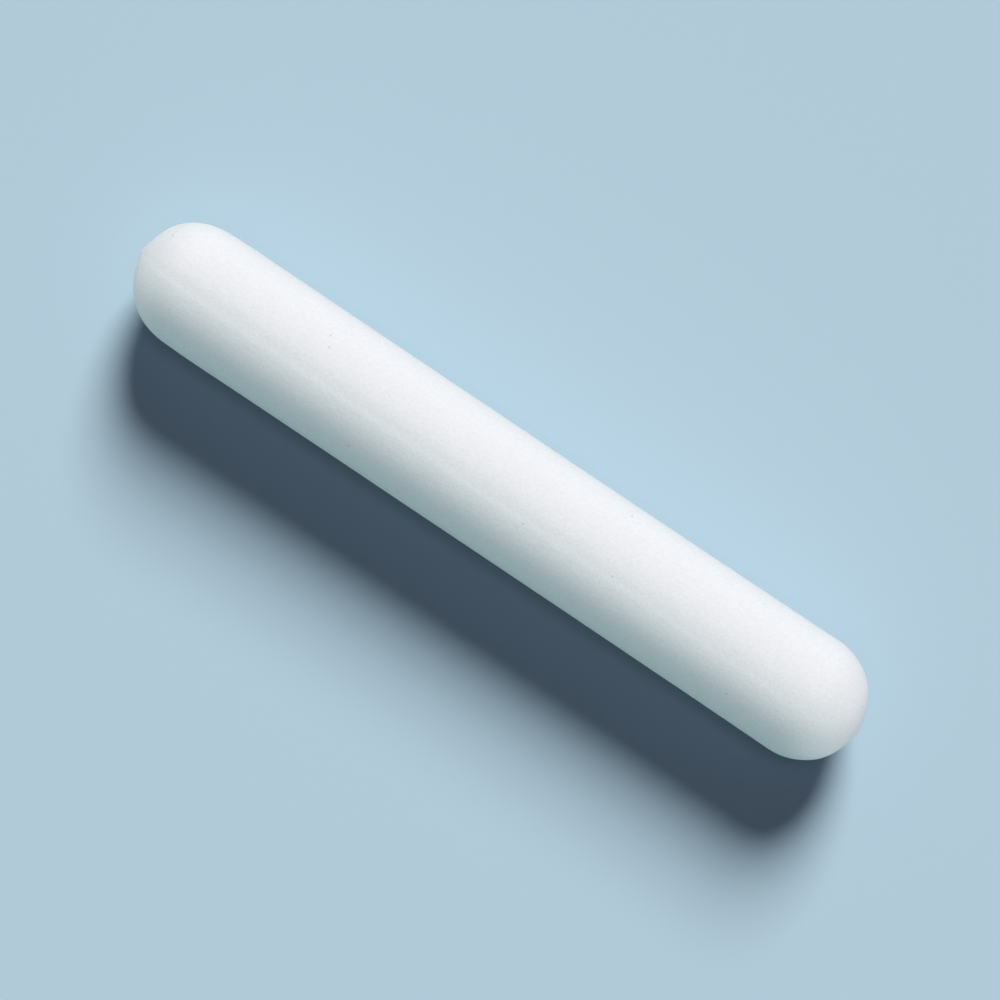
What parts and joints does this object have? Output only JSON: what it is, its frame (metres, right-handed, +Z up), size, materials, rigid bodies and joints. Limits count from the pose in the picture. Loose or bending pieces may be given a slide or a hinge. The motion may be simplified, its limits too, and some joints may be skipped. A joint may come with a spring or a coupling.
{
  "type": "magnetic stir bar",
  "caption": "Cylindrical magnetic stir bar with domed ends drawn to blunt points: a magnet rod sealed inside a smooth, seamless white fluoropolymer jacket.",
  "frame": {"origin": "middle of the line along which the barrel rests on a level surface, under the bar's centre", "axes": "+X along the bar, +Y across it, +Z up from the surface it lies on"},
  "size_m": [0.06, 0.009, 0.009],
  "materials": {
    "jacket": "white moulded PTFE fluoropolymer, satin and faintly translucent",
    "magnet": "cast alnico rod, ground on the barrel and ends"
  },
  "bodies": {
    "root": {"jacket": "jacket", "magnet": "magnet"}
  },
  "joints": []
}
